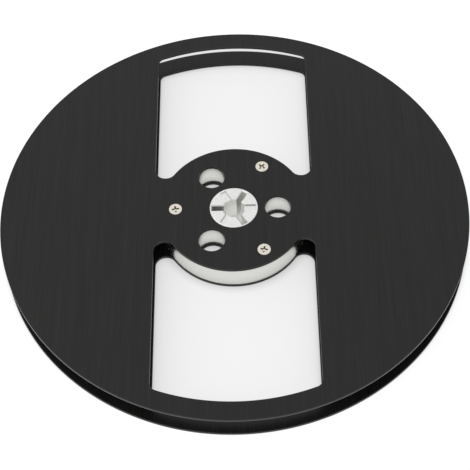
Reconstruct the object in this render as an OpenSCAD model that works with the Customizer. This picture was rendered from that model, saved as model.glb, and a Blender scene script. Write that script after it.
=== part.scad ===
// Open reel for quarter-inch recording tape.
// Two thin flanges with a pair of windows each are screwed to the ends of a turned hub, and a
// keyed bush through the middle drops over the deck's spindle and its three keys.
// The origin is on the reel's axis in the lower flange's outer face. +Z runs up the spindle,
// and the windows lie along -Y and +Y.

/* [Flanges] */
// Outside diameter of both flanges
flange_d = 178; // [150:1:190]
// Sheet thickness of each flange
flange_t = 1.2; // [0.8:0.1:2]
// Width of the rim left outside the windows
rim_w = 7.3; // [4:0.1:12]
// Width of the bevel that breaks the sheet's cut edges
edge_break = 0.2; // [0.05:0.05:0.35]
// How far the flange's middle stands out past the hub's wall
flange_lap = 0.2; // [0:0.05:0.6]

/* [Windows] */
// Distance between the straight sides of a window
window_w = 60.5; // [44:0.5:68]
// Radius of the corners where a window meets the hub
hub_corner_r = 4; // [2.5:0.1:5]
// Radius of the corners where a window meets the rim
rim_corner_r = 3; // [1:0.1:6]

/* [Hub] */
// Diameter of the wall that the tape winds on
hub_d = 56; // [50:0.5:60]
// Length of the hub, which is the distance between the flanges
hub_len = 9.3; // [8:0.1:14]
// Diameter of the round holes through the flanges
hub_hole_d = 10; // [6:0.5:11]
// How far the walls of the hub's own holes stand back from them
hub_hole_play = 0.5; // [0:0.05:0.8]
// Distance from the bush to the round holes of the flanges
hub_hole_wall = 2.6; // [1.5:0.1:4]

/* [Spindle bush] */
// Outside diameter of the bush
bush_d = 18.4; // [16:0.1:21]
// Diameter of the bore that takes the spindle
spindle_bore_d = 8; // [6:0.1:10]
// Width of a keyway
key_w = 2; // [1.2:0.1:3]
// Wall left outside the end of a keyway
key_wall = 0.9; // [0.5:0.1:2]
// Width of the shallow slots between the keyways
lead_slot_w = 2.5; // [1.5:0.1:3]
// Depth of those slots in each face
lead_slot_depth = 0.5; // [0.2:0.1:1.5]
// Wall left outside the end of those slots
lead_slot_wall = 0.8; // [0.4:0.1:2]
// Bevel round each face of the bush
bush_bevel = 0.2; // [0.05:0.05:0.4]
// Bevel of bore and keyways in each face, which leads the spindle in
bore_bevel = 0.4; // [0.1:0.05:0.5]

/* [Screws] */
// Distance from the hub's wall in to a screw's axis
screw_inset = 5.75; // [4.5:0.05:7]
// Diameter of a screw over its thread
screw_d = 2.6; // [2:0.1:3.2]
// Diameter of a countersunk head
head_d = 5.1; // [4:0.1:6]
// Height of the straight edge of a head
head_land = 0.15; // [0.05:0.05:0.4]
// How deep a head lies below the flange's face
head_sink = 0.05; // [0:0.05:0.2]
// Length of a screw that is in the hub
screw_bite = 3.7; // [2:0.1:4.5]
// Width across the cross recess in a head
recess_w = 2.9; // [1.5:0.1:3.5]
// Thickness of one wing of the recess
recess_wing_t = 0.6; // [0.3:0.1:0.9]
// Depth of the recess
recess_depth = 1.1; // [0.6:0.1:1.6]

/* [Fits] */
// Radial clearance of the bush in the hub and flanges
bush_clearance = 0.02; // [0.01:0.01:0.05]
// Clearance round a screw in its seat and its hole
screw_clearance = 0.03; // [0.01:0.01:0.1]

/* [Hidden] */
$fn = 180;
// Steps round small circles
small_fn = 64;
// Holes, screws, keyways and slots all come in threes
spokes = 3;
// Angle from +X of the first keyway and the first screw
key_phase = 60;
// Angle from +X of the first round hole and the first slot
hole_phase = 0;
// How far a cut runs past the face that it opens
over = 1;
// How far a window's corner circle bites into the edges it joins, so that they cross cleanly
corner_bite = 0.005;
// How far a bevel is cut on past the wall that it meets, for the same reason
bevel_bite = 0.1;
// Angle from +X of one wing of the cross recess in each screw, as the screws came to rest
recess_turn = [50, 9, 80];

// Thickness of the whole reel, outer face to outer face
reel_t = hub_len + 2 * flange_t;
flange_r = flange_d / 2;
hub_r = hub_d / 2;
bush_r = bush_d / 2;
bore_r = spindle_bore_d / 2;
// Distance from the axis to the end of a keyway
key_reach = bush_r - key_wall;
// Radius of the flange's middle, between the two windows
web_r = hub_r + flange_lap;
// Radius of a window's edge at the rim
window_rim_r = flange_r - rim_w;
hub_hole_ring_r = bush_r + hub_hole_wall + hub_hole_d / 2;
screw_ring_r = hub_r - screw_inset;
head_r = head_d / 2;
shank_r = screw_d / 2;
// Height in the lower face at which a head's straight edge turns into its cone, and the height
// of the cone, which has a right angle between its sides
cone_z = head_sink + head_land;
cone_h = head_r - shank_r;
bush_seat_r = bush_r + bush_clearance;

// Centres of the corner circles of the front window, on its right-hand side.
// Each circle touches the straight side from inside. The first also touches the middle of the
// flange from outside, and the second touches the rim from inside.
hub_corner_x = window_w / 2 - hub_corner_r;
hub_corner_y = -sqrt(pow(web_r + hub_corner_r, 2) - pow(hub_corner_x, 2));
rim_corner_x = window_w / 2 - rim_corner_r;
rim_corner_y = -sqrt(pow(window_rim_r - rim_corner_r, 2) - pow(rim_corner_x, 2));
// Size of the wedges that clear the sharp corners away
rim_wedge = 3 * rim_corner_r;
hub_wedge = web_r + hub_corner_r;

// Angle of copy i of a pattern that starts at phase
function spoke_angle(phase, i) = phase + i * 360 / spokes;

// Repeats its children at a radius, round the reel's axis
module around(phase, radius) {
    for (i = [0 : spokes - 1]) {
        rotate(spoke_angle(phase, i))
            translate([radius, 0, 0])
                children();
    }
}

// Turns its children over, so that what is built on the lower face comes to the upper face
module upper_side() {
    translate([0, 0, reel_t])
        mirror([0, 0, 1])
            children();
}

// Disc whose radius is grown by grow_0 at its lower face and by grow_1 at its upper one
module tapered_disc(h, r, grow_0, grow_1) {
    cylinder(h = h, r1 = r + grow_0, r2 = r + grow_1);
}

// Clears the corner of a window that lies outside the rim's corner circle
module rim_corner_wedge(z_0, z_1) {
    reach = window_rim_r - rim_corner_r;
    translate([rim_corner_x, rim_corner_y, z_0])
        linear_extrude(z_1 - z_0)
            polygon([
                [0, 0],
                [rim_wedge, 0],
                [rim_wedge, -rim_wedge],
                [rim_wedge * rim_corner_x / reach, rim_wedge * rim_corner_y / reach]
            ]);
}

// Clears what runs on past the corner circle beside the hub, up to the reel's axis
module hub_corner_wedge(z_0, z_1) {
    translate([0, 0, z_0])
        linear_extrude(z_1 - z_0)
            polygon([
                [0, 0],
                [hub_corner_x, hub_corner_y],
                [hub_corner_x + hub_wedge, hub_corner_y],
                [hub_corner_x + hub_wedge, 0]
            ]);
}

// Space of the front window between two heights. Its outline is grown by grow_0 at the lower
// height and by grow_1 at the upper one, so that a slab can also be the bevel of its edge.
module window_slab(z_0, z_1, grow_0, grow_1) {
    h = z_1 - z_0;
    side = window_w / 2;
    difference() {
        intersection() {
            translate([0, 0, z_0])
                tapered_disc(h, window_rim_r, grow_0, grow_1);
            rotate([90, 0, 0])
                linear_extrude(flange_r)
                    polygon([
                        [-side - grow_0, z_0], [side + grow_0, z_0],
                        [side + grow_1, z_1], [-side - grow_1, z_1]
                    ]);
        }
        translate([0, 0, z_0])
            tapered_disc(h, web_r, -grow_0, -grow_1);
        for (m = [0, 1]) {
            mirror([m, 0, 0]) {
                rim_corner_wedge(z_0, z_1);
                hub_corner_wedge(z_0, z_1);
            }
        }
    }
    for (m = [0, 1]) {
        mirror([m, 0, 0]) {
            translate([rim_corner_x, rim_corner_y, z_0])
                tapered_disc(h, rim_corner_r + corner_bite, grow_0, grow_1);
            translate([hub_corner_x, hub_corner_y, z_0])
                tapered_disc(h, hub_corner_r + corner_bite, grow_0, grow_1);
        }
    }
}

// Both windows through the lower flange. The bevels of their edges are cut from outside the
// flange's faces to just past their own ends, so that they cross the straight walls cleanly.
module windows() {
    outer_grow = edge_break + over;
    for (m = [0, 1]) {
        mirror([0, m, 0]) {
            window_slab(-over, flange_t + over, 0, 0);
            window_slab(-over, edge_break + bevel_bite, outer_grow, -bevel_bite);
            window_slab(flange_t - edge_break - bevel_bite, flange_t + over, -bevel_bite, outer_grow);
        }
    }
}

// Turned blank of a screw in the lower face, its head down
module screw_blank() {
    tip_z = flange_t + screw_bite;
    tip_bevel = screw_d / 8;
    rotate_extrude($fn = small_fn)
        polygon([
            [0, head_sink],
            [head_r, head_sink],
            [head_r, cone_z],
            [shank_r, cone_z + cone_h],
            [shank_r, tip_z - tip_bevel],
            [shank_r - tip_bevel, tip_z],
            [0, tip_z]
        ]);
}

// Hole through both flanges and the hub for the two screws that share an axis
module screw_hole() {
    seat_r = head_r + screw_clearance;
    hole_r = shank_r + screw_clearance;
    far_z = reel_t - cone_z;
    rotate_extrude($fn = small_fn)
        polygon([
            [0, -over],
            [seat_r, -over],
            [seat_r, cone_z],
            [hole_r, cone_z + cone_h],
            [hole_r, far_z - cone_h],
            [seat_r, far_z],
            [seat_r, reel_t + over],
            [0, reel_t + over]
        ]);
}

// Cross recess of screw i, drawn in towards its bottom
module cross_recess(i) {
    turn = recess_turn[i - 1] - spoke_angle(key_phase, i - 1);
    top_z = head_sink - over;
    bottom_z = head_sink + recess_depth;
    intersection() {
        rotate_extrude($fn = small_fn)
            polygon([
                [0, top_z],
                [recess_w / 2, top_z],
                [recess_w / 2, head_sink],
                [recess_wing_t / 2, bottom_z],
                [0, bottom_z]
            ]);
        for (a = [0, 90]) {
            rotate(turn + a)
                translate([-recess_w, -recess_wing_t / 2, top_z])
                    cube([2 * recess_w, recess_wing_t, bottom_z - top_z]);
        }
    }
}

// One flange, lying as the lower one
module flange() {
    difference() {
        rotate_extrude()
            polygon([
                [bush_seat_r, 0],
                [flange_r - edge_break, 0],
                [flange_r, edge_break],
                [flange_r, flange_t - edge_break],
                [flange_r - edge_break, flange_t],
                [bush_seat_r, flange_t]
            ]);
        windows();
        around(hole_phase, hub_hole_ring_r)
            translate([0, 0, -over])
                cylinder(h = flange_t + 2 * over, d = hub_hole_d, $fn = small_fn);
        around(key_phase, screw_ring_r)
            screw_hole();
    }
}

module lower_flange() {
    color([0.19, 0.19, 0.19])
        flange();
}

module upper_flange() {
    color([0.22, 0.22, 0.22])
        upper_side()
            flange();
}

// Solid core that the tape winds on, drilled for the bush, the holes and the screws
module hub_barrel() {
    color([0.8, 0.8, 0.78])
        difference() {
            translate([0, 0, flange_t])
                cylinder(h = hub_len, r = hub_r);
            translate([0, 0, flange_t - over])
                cylinder(h = hub_len + 2 * over, r = bush_seat_r);
            around(hole_phase, hub_hole_ring_r)
                translate([0, 0, flange_t - over])
                    cylinder(h = hub_len + 2 * over, r = hub_hole_d / 2 + hub_hole_play, $fn = small_fn);
            around(key_phase, screw_ring_r)
                screw_hole();
        }
}

// Shallow slot in the lower face of the bush, open to the bore
module lead_slot() {
    translate([0, -lead_slot_w / 2, -over])
        cube([bush_r - lead_slot_wall, lead_slot_w, over + lead_slot_depth]);
}

// Space of a keyway between two heights, grown by grow_0 at the lower one and by grow_1 at the
// upper one
module keyway_slab(z_0, z_1, grow_0, grow_1) {
    half = key_w / 2;
    intersection() {
        rotate([90, 0, 90])
            linear_extrude(2 * bush_r)
                polygon([
                    [-half - grow_0, z_0], [half + grow_0, z_0],
                    [half + grow_1, z_1], [-half - grow_1, z_1]
                ]);
        translate([0, bush_r, 0])
            rotate([90, 0, 0])
                linear_extrude(2 * bush_r)
                    polygon([
                        [-bore_bevel, z_0], [key_reach + grow_0, z_0],
                        [key_reach + grow_1, z_1], [-bore_bevel, z_1]
                    ]);
    }
}

// Space of bore and keyways between two heights, grown in the same way
module keyed_bore(z_0, z_1, grow_0, grow_1) {
    translate([0, 0, z_0])
        tapered_disc(z_1 - z_0, bore_r, grow_0, grow_1);
    around(key_phase, 0)
        keyway_slab(z_0, z_1, grow_0, grow_1);
}

// Bevel of bore and keyways in the lower face, cut as the windows' bevels are
module bore_lead_in() {
    keyed_bore(-over, bore_bevel + bevel_bite, bore_bevel + over, -bevel_bite);
}

// Bush through hub and flanges, with its bore, its keyways and the slots of both faces
module spindle_bush() {
    color([0.92, 0.92, 0.9])
        difference() {
            rotate_extrude()
                polygon([
                    [0, 0],
                    [bush_r - bush_bevel, 0],
                    [bush_r, bush_bevel],
                    [bush_r, reel_t - bush_bevel],
                    [bush_r - bush_bevel, reel_t],
                    [0, reel_t]
                ]);
            keyed_bore(-over, reel_t + over, 0, 0);
            bore_lead_in();
            upper_side()
                bore_lead_in();
            around(hole_phase, 0) {
                lead_slot();
                upper_side()
                    lead_slot();
            }
        }
}

// Screw i of the three in the lower face, counted from the first keyway
module lower_screw(i) {
    color([0.86, 0.85, 0.82])
        rotate(spoke_angle(key_phase, i - 1))
            translate([screw_ring_r, 0, 0])
                difference() {
                    screw_blank();
                    cross_recess(i);
                }
}

// Screw i of the three in the upper face
module upper_screw(i) {
    upper_side()
        lower_screw(i);
}

lower_flange();
hub_barrel();
spindle_bush();
upper_flange();
lower_screw(1);  // lower_screw_1
lower_screw(2);  // lower_screw_2
lower_screw(3);  // lower_screw_3
upper_screw(1);  // upper_screw_1
upper_screw(2);  // upper_screw_2
upper_screw(3);  // upper_screw_3
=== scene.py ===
"""Visual model of an open metal reel for quarter-inch audio tape.

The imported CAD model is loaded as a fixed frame. Every piece of it is replaced by a finer one in
the same place: two flanges with rounded edges, a turned hub, a keyed bush and six cross-head
screws. Sizes in the classes are millimetres, and meshes are built in metres.
"""

import logging
import math
from dataclasses import dataclass, field
from enum import Enum
from typing import Sequence, Union

import bmesh
import bpy
from mathutils import Matrix, Vector


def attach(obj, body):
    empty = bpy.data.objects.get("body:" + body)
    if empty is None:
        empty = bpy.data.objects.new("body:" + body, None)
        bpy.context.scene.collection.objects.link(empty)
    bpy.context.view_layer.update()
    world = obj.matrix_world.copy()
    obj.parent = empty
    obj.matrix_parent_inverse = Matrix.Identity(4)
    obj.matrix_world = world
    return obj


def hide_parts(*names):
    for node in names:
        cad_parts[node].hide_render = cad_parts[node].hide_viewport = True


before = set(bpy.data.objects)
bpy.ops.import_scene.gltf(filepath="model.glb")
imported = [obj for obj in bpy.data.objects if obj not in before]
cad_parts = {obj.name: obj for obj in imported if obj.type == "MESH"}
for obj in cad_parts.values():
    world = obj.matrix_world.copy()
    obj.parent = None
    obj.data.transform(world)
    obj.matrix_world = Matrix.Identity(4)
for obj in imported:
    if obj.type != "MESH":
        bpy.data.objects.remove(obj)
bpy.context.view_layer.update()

log = logging.getLogger("tape_reel")

MM = 0.001
BODY = "root"
MERGE = 0.0001 * MM
LEVEL = 0.9999

Point = tuple[float, float]
Range = tuple[float, float]
Place = tuple[float, float, float]
Color = tuple[float, float, float, float]
Socket = bpy.types.NodeSocket
Value = Union[Socket, bpy.types.Material, bpy.types.Object, float, Sequence[float]]
Feeds = dict[Union[str, int], Value]
Option = Union[str, bool]


class Side(Enum):
    """Face of the reel that a piece belongs to."""

    LOWER = "lower"
    UPPER = "upper"


class Turn(Enum):
    """Way round a loop, which keeps the material on the left of the path."""

    OUTSIDE = 1
    HOLE = -1


@dataclass(frozen=True)
class ReelSizes:
    """Sizes of the reel in millimetres, as the CAD model has them."""

    flange_r: float = 89.0
    flange_t: float = 1.2
    rim_w: float = 7.3
    edge_break: float = 0.2
    flange_lap: float = 0.2
    window_w: float = 60.5
    hub_corner_r: float = 4.0
    rim_corner_r: float = 3.0
    hub_len: float = 9.3
    hub_r: float = 28.0
    hub_hole_r: float = 5.0
    hub_hole_play: float = 0.5
    hub_hole_wall: float = 2.6
    bush_r: float = 9.2
    bush_clearance: float = 0.02
    screw_inset: float = 5.75
    head_r: float = 2.55
    head_sink: float = 0.05
    head_land: float = 0.15
    shank_r: float = 1.3
    screw_clearance: float = 0.03
    spokes: int = 3
    key_phase: float = 60.0
    hole_phase: float = 0.0

    @property
    def reel_t(self) -> float:
        """Thickness of the reel over both flanges."""
        return self.hub_len + 2.0 * self.flange_t

    @property
    def hole_ring_r(self) -> float:
        """Radius of the ring on which the round holes lie."""
        return self.bush_r + self.hub_hole_wall + self.hub_hole_r

    @property
    def screw_ring_r(self) -> float:
        """Radius of the ring on which the screws lie."""
        return self.hub_r - self.screw_inset

    @property
    def bush_seat_r(self) -> float:
        """Radius of the hole that takes the bush."""
        return self.bush_r + self.bush_clearance

    def angles(self, phase: float) -> list[float]:
        """Angles in degrees of a pattern round the axis, whose first copy is at the phase."""
        return [phase + i * 360.0 / self.spokes for i in range(self.spokes)]


def polar(radius: float, degrees: float) -> Point:
    """Point at a radius and an angle from +X."""
    return radius * math.cos(math.radians(degrees)), radius * math.sin(math.radians(degrees))


def arc(centre: Point, radius: float, start: float, end: float, steps: int) -> list[Point]:
    """Points along an arc, with its start, and without its end.

    Args:
        centre: centre of the arc.
        radius: radius of the arc.
        start: angle of the first point, in degrees.
        end: angle at which the arc ends, in degrees.
        steps: number of points.

    Returns:
        The points.
    """
    spokes = [polar(radius, start + (end - start) * i / steps) for i in range(steps)]
    return [(centre[0] + x, centre[1] + y) for x, y in spokes]


def circle(radius: float, turn: Turn, steps: int, centre: Point = (0.0, 0.0)) -> list[Point]:
    """Points round a circle, as the outside of a plate or as a hole."""
    return arc(centre, radius, 0.0, 360.0 * turn.value, steps)


def quarter(steps: int) -> list[float]:
    """Angles of a quarter turn in even steps, in radians."""
    return [math.pi / 2 * i / steps for i in range(steps + 1)]


@dataclass
class Loop:
    """One closed edge of a plate, seen from above, and how its rims and its wall are finished.

    Where bevel is 1 the rims are flat bevels, and where it is 0 they are rounded. A bore-light
    number of 1 paints the wall lighter, as painted light on a bore wall. The shade numbers, one
    for each point from 0 to 1, say how much painted shade the wall behind each point takes.
    """

    points: list[Point]
    rounding: float
    bevel: float = 0.0
    # Painted light on a bore wall where 1: the wall takes its finish's lighter bore colour.
    bored: float = 0.0
    # Painted shade on the wall behind each point, from 0 to 1.
    hollow: list[float] = field(default_factory=list)

    def outward(self) -> list[Point]:
        """Directions away from the material, long enough at corners to keep offsets parallel.

        Returns:
            One vector for each point.
        """
        count = len(self.points)
        result = []
        for i in range(count):
            before, here, after = (Vector(self.points[(i + k) % count]) for k in (-1, 0, 1))
            arriving, leaving = (here - before).normalized(), (after - here).normalized()
            normal_0, normal_1 = Vector((arriving.y, -arriving.x)), Vector((leaving.y, -leaving.x))
            mitre = (normal_0 + normal_1) / (1.0 + normal_0.dot(normal_1))
            result.append((mitre.x, mitre.y))
        return result


def outline_mesh(name: str, loops: Sequence[Loop]) -> bpy.types.Mesh:
    """Loops as a mesh of edges that carries what the plate's tree reads.

    Args:
        name: name of the mesh.
        loops: the closed edges, in millimetres.

    Returns:
        The mesh, in metres.
    """
    points, edges, outward = [], [], []
    numbers = {"rounding": [], "bevel": [], "bored": [], "hollow": []}
    for loop in loops:
        first, count = len(points), len(loop.points)
        points += [(x * MM, y * MM, 0.0) for x, y in loop.points]
        edges += [(first + i, first + (i + 1) % count) for i in range(count)]
        outward += [(x, y, 0.0) for x, y in loop.outward()]
        numbers["rounding"] += [loop.rounding * MM] * count
        numbers["bevel"] += [loop.bevel] * count
        numbers["bored"] += [loop.bored] * count
        numbers["hollow"] += loop.hollow or [0.0] * count
    mesh = bpy.data.meshes.new(name)
    mesh.from_pydata(points, edges, [])
    away = mesh.attributes.new("outward", "FLOAT_VECTOR", "POINT")
    away.data.foreach_set("vector", [v for vector in outward for v in vector])
    for label, values in numbers.items():
        mesh.attributes.new(label, "FLOAT", "POINT").data.foreach_set("value", values)
    return mesh


def profile_mesh(name: str, points: Sequence[Point]) -> bpy.types.Mesh:
    """Half section of a turned piece, as points at (radius, 0, height).

    Args:
        name: name of the mesh.
        points: radius and height of each point, in millimetres.

    Returns:
        The mesh, in metres.
    """
    mesh = bpy.data.meshes.new(name)
    edges = [(i, i + 1) for i in range(len(points) - 1)]
    mesh.from_pydata([(r * MM, 0.0, z * MM) for r, z in points], edges, [])
    return mesh


def add_object(name: str, data: bpy.types.ID) -> bpy.types.Object:
    """Adds an object to the scene.

    Args:
        name: name of the object.
        data: its mesh, lamp or camera.

    Returns:
        The object.
    """
    thing = bpy.data.objects.new(name, data)
    bpy.context.scene.collection.objects.link(thing)
    return thing


class Sketch:
    """Short ways to add nodes to one tree and to join them."""

    def __init__(self, tree: bpy.types.NodeTree) -> None:
        """Starts on a tree, which it empties."""
        self.tree = tree
        tree.nodes.clear()

    def node(self, kind: str, feeds: Feeds | None = None, **settings: Option) -> bpy.types.Node:
        """Adds a node.

        Args:
            kind: the node's type.
            feeds: values or links for its inputs, by name or number.
            **settings: the node's own options.

        Returns:
            The new node.
        """
        node = self.tree.nodes.new(kind)
        for name, value in settings.items():
            setattr(node, name, value)
        for key, value in (feeds or {}).items():
            self.feed(node.inputs[key], value)
        return node

    def out(
        self, kind: str, feeds: Feeds | None = None, output: Union[str, int] = 0, **settings: Option
    ) -> Socket:
        """Adds a node and gives one of its outputs, the first unless another is named."""
        return self.node(kind, feeds, **settings).outputs[output]

    def feed(self, socket: Socket, value: Value) -> None:
        """Links an output to a socket, or sets the socket's own value."""
        if isinstance(value, Socket):
            self.tree.links.new(value, socket)
        else:
            socket.default_value = value

    def math(self, operation: str, a: Value, b: Value = 0.0) -> Socket:
        """Output of a Math node on one or two numbers."""
        return self.out("ShaderNodeMath", {0: a, 1: b}, operation=operation)

    def plus(self, a: Value, b: Value) -> Socket:
        """One number and another."""
        return self.math("ADD", a, b)

    def minus(self, a: Value, b: Value) -> Socket:
        """One number less another."""
        return self.math("SUBTRACT", a, b)

    def times(self, a: Value, b: Value) -> Socket:
        """One number times another."""
        return self.math("MULTIPLY", a, b)

    def over(self, a: Value, b: Value) -> Socket:
        """One number over another."""
        return self.math("DIVIDE", a, b)

    def vector(self, operation: str, a: Value, b: Value) -> Socket:
        """Output of a Vector Math node on two vectors."""
        return self.out("ShaderNodeVectorMath", {0: a, 1: b}, operation=operation)

    def scaled(self, vector: Value, factor: Value) -> Socket:
        """A vector times a number."""
        return self.out("ShaderNodeVectorMath", {0: vector, "Scale": factor}, operation="SCALE")

    def combine(self, x: Value = 0.0, y: Value = 0.0, z: Value = 0.0) -> Socket:
        """A vector from its three parts."""
        return self.out("ShaderNodeCombineXYZ", {0: x, 1: y, 2: z})

    def split(self, vector: Value) -> bpy.types.NodeOutputs:
        """The three parts of a vector."""
        return self.node("ShaderNodeSeparateXYZ", {0: vector}).outputs

    def blend(self, factor: Value, a: Value, b: Value) -> Socket:
        """A colour between two colours."""
        return self.out("ShaderNodeMix", {0: factor, 6: a, 7: b}, 2, data_type="RGBA")

    def between(self, factor: Value, a: Value, b: Value) -> Socket:
        """A number between two numbers."""
        return self.out("ShaderNodeMix", {0: factor, 2: a, 3: b}, data_type="FLOAT")

    def remap(
        self, value: Value, low: float, high: float, to_low: float = 0.0, to_high: float = 1.0
    ) -> Socket:
        """A value moved from one range to another, and kept within it."""
        return self.out("ShaderNodeMapRange", {0: value, 1: low, 2: high, 3: to_low, 4: to_high})

    def join(self, parts: Sequence[Socket]) -> Socket:
        """Several geometries as one."""
        node = self.node("GeometryNodeJoinGeometry")
        for part in parts:
            self.tree.links.new(part, node.inputs[0])
        return node.outputs[0]

    def move(self, geometry: Socket, offset: Value, selection: Socket | None = None) -> Socket:
        """Geometry with its points moved, all of them or those that are selected."""
        feeds = {"Geometry": geometry, "Offset": offset}
        if selection is not None:
            feeds["Selection"] = selection
        return self.out("GeometryNodeSetPosition", feeds)

    def copies(self, points: Socket, shape: Socket, turn: Socket | None = None) -> Socket:
        """Real copies of a shape on points, each with its own turn if there is one."""
        feeds = {"Points": points, "Instance": shape}
        if turn is not None:
            feeds["Rotation"] = turn
        spread = self.out("GeometryNodeInstanceOnPoints", feeds)
        return self.out("GeometryNodeRealizeInstances", {"Geometry": spread})

    def mark(self, geometry: Socket, **numbers: Value) -> Socket:
        """Geometry whose faces carry the named numbers."""
        for name, value in numbers.items():
            feeds = {"Geometry": geometry, "Name": name, "Value": value}
            geometry = self.out("GeometryNodeStoreNamedAttribute", feeds, data_type="FLOAT", domain="FACE")
        return geometry

    def number(self, name: str) -> Socket:
        """A number that the geometry carries."""
        return self.out("GeometryNodeInputNamedAttribute", {"Name": name}, data_type="FLOAT")

    def steepness(self, gain: float) -> Socket:
        """How steep a face is, from 0 where it lies flat to 1, which a larger gain reaches sooner."""
        rise = self.split(self.out("GeometryNodeInputNormal"))[2]
        lean = self.minus(1.0, self.times(rise, rise))
        return self.math("MINIMUM", self.times(lean, gain), 1.0)

    def cut(self, body: Socket, cutter: Socket, operation: str = "DIFFERENCE") -> Socket:
        """A body cut by another, or what both share, or both as one."""
        node = self.node("GeometryNodeMeshBoolean", operation=operation, solver="EXACT")
        node.inputs["Self Intersection"].default_value = True
        self.tree.links.new(body, node.inputs[0 if operation == "DIFFERENCE" else 1])
        self.tree.links.new(cutter, node.inputs[1])
        return node.outputs[0]


class NodeForm:
    """A Geometry Nodes tree that turns a base mesh and named sizes into a finished form.

    Each form states the name of its tree, its inputs that are numbers, the types of its other
    inputs, and how it draws its geometry.
    """

    NAME = ""
    NUMBERS: tuple[str, ...] = ()
    OTHERS: dict[str, str] = {}

    def __init__(self) -> None:
        """Makes the tree and its inputs, and ends it with Realize Instances and Set Material."""
        shape = "NodeSocketGeometry"
        numbers = {label: "NodeSocketFloat" for label in self.NUMBERS}
        inputs = {"Geometry": shape, **numbers, **self.OTHERS, "Material": "NodeSocketMaterial"}
        self.tree = bpy.data.node_groups.new(self.NAME, "GeometryNodeTree")
        for label, kind in inputs.items():
            self.tree.interface.new_socket(label, in_out="INPUT", socket_type=kind)
        self.tree.interface.new_socket("Geometry", in_out="OUTPUT", socket_type=shape)
        self.sketch = Sketch(self.tree)
        self.given = self.sketch.node("NodeGroupInput").outputs
        real = self.sketch.out("GeometryNodeRealizeInstances", {"Geometry": self.draw()})
        feeds = {"Geometry": real, "Material": self.given["Material"]}
        self.sketch.node("NodeGroupOutput", {0: self.sketch.out("GeometryNodeSetMaterial", feeds)})

    def draw(self) -> Socket:
        """The geometry, which each form draws its own way."""
        raise NotImplementedError

    def turned(self, section: Socket, points: Socket, segments: int) -> Socket:
        """Turns a half section: the rows of a grid follow it, and its columns go round the Z axis.

        Args:
            section: points at (radius, 0, height), which start and end on the axis.
            points: number of points in the section.
            segments: number of steps round the axis.

        Returns:
            The closed shell.
        """
        s = self.sketch
        feeds = {"Size X": 1.0, "Size Y": 1.0, "Vertices X": segments + 1, "Vertices Y": points}
        grid = s.out("GeometryNodeMeshGrid", feeds)
        position = s.out("GeometryNodeInputPosition")
        where = s.split(position)
        angle = s.times(s.plus(where[0], 0.5), 2.0 * math.pi)
        row = s.math("ROUND", s.times(s.plus(where[1], 0.5), s.minus(points, 1.0)))
        feeds = {"Geometry": section, "Value": position, "Index": row}
        place = s.split(s.out("GeometryNodeSampleIndex", feeds, data_type="FLOAT_VECTOR", domain="POINT"))
        across = s.times(place[0], s.math("COSINE", angle))
        along = s.times(place[0], s.math("SINE", angle))
        feeds = {"Geometry": grid, "Position": s.combine(across, along, place[2])}
        shell = s.out("GeometryNodeSetPosition", feeds)
        return s.out("GeometryNodeMergeByDistance", {"Geometry": shell, "Distance": MERGE})

    def make(
        self, name: str, base: bpy.types.Mesh, values: dict[str, Value], sharp: float
    ) -> bpy.types.Object:
        """Runs the tree and keeps its result as a plain mesh.

        Args:
            name: name of the new piece.
            base: mesh that the tree starts from.
            values: a value for each named input.
            sharp: angle above which an edge stays sharp, in degrees.

        Returns:
            The piece.
        """
        carrier = add_object(name + "_base", base)
        modifier = carrier.modifiers.new(self.tree.name, "NODES")
        modifier.node_group = self.tree
        sockets = [s for s in self.tree.interface.items_tree if s.in_out == "INPUT"]
        for socket in sockets:
            if socket.name in values:
                modifier[socket.identifier] = values[socket.name]
        bpy.context.view_layer.update()
        graph = bpy.context.evaluated_depsgraph_get()
        mesh = bpy.data.meshes.new_from_object(carrier.evaluated_get(graph), depsgraph=graph)
        carrier.modifiers.clear()
        bpy.data.objects.remove(carrier)
        mesh.name = name
        mesh.materials.clear()
        mesh.materials.append(values["Material"])
        tidy_mesh(mesh, sharp)
        return add_object(name, mesh)


def tidy_mesh(mesh: bpy.types.Mesh, sharp: float) -> None:
    """Merges doubles, turns the faces outward and smooths all but the sharp edges.

    The borders of level faces stay sharp too, so that these are shaded quite flat.

    Args:
        mesh: mesh to tidy.
        sharp: angle above which an edge stays sharp, in degrees.
    """
    work = bmesh.new()
    work.from_mesh(mesh)
    bmesh.ops.remove_doubles(work, verts=work.verts, dist=MERGE)
    bmesh.ops.recalc_face_normals(work, faces=work.faces)
    open_edges = sum(1 for edge in work.edges if not edge.is_manifold)
    if open_edges:
        log.warning("%s has %d open edges", mesh.name, open_edges)
    for face in work.faces:
        face.material_index = 0
        face.smooth = True
    for edge in work.edges:
        level = {abs(face.normal.z) > LEVEL for face in edge.link_faces}
        edge.smooth = len(level) == 1 and edge.calc_face_angle(0.0) < math.radians(sharp)
    work.to_mesh(mesh)
    work.free()


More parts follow.
